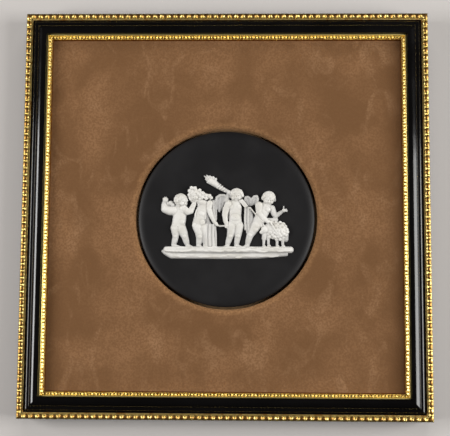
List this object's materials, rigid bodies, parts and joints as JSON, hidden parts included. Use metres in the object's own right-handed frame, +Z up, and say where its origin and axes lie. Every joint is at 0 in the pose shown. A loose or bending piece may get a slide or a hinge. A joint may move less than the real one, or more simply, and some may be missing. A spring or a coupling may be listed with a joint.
{
  "type": "framed jasperware plaque",
  "caption": "Round black jasper plaque with a white relief of walking putti, in a suede mat and a square black and gilt frame, for hanging on a wall.",
  "frame": {"origin": "middle of the top rail's back face, where the frame bears on the wall that it hangs on", "axes": "+X to the right seen from the front, +Y into the wall, +Z up; the picture faces -Y"},
  "size_m": [0.246, 0.0194, 0.246],
  "materials": {
    "ebonised_wood": "black lacquer, rubbed to a gloss",
    "gilding": "burnished gilding over moulded wood, darker in the hollows",
    "suede": "brushed brown suede over board",
    "black_jasper": "unglazed black stoneware, satin",
    "white_jasper": "unglazed white stoneware, dull",
    "fibreboard": "brown fibreboard",
    "steel": "plated pressed steel"
  },
  "bodies": {
    "root": {"rail_bottom": "ebonised_wood", "rail_right": "ebonised_wood", "rail_top": "ebonised_wood", "rail_left": "ebonised_wood", "bead_strip_bottom": "gilding", "bead_strip_right": "gilding", "bead_strip_top": "gilding", "bead_strip_left": "gilding", "gilt_slip_bottom": "gilding", "gilt_slip_right": "gilding", "gilt_slip_top": "gilding", "gilt_slip_left": "gilding", "backboard": "fibreboard", "suede_mat": "suede", "jasper_plaque": "black_jasper", "putti_relief": "white_jasper", "hanger": "steel"}
  },
  "joints": []
}
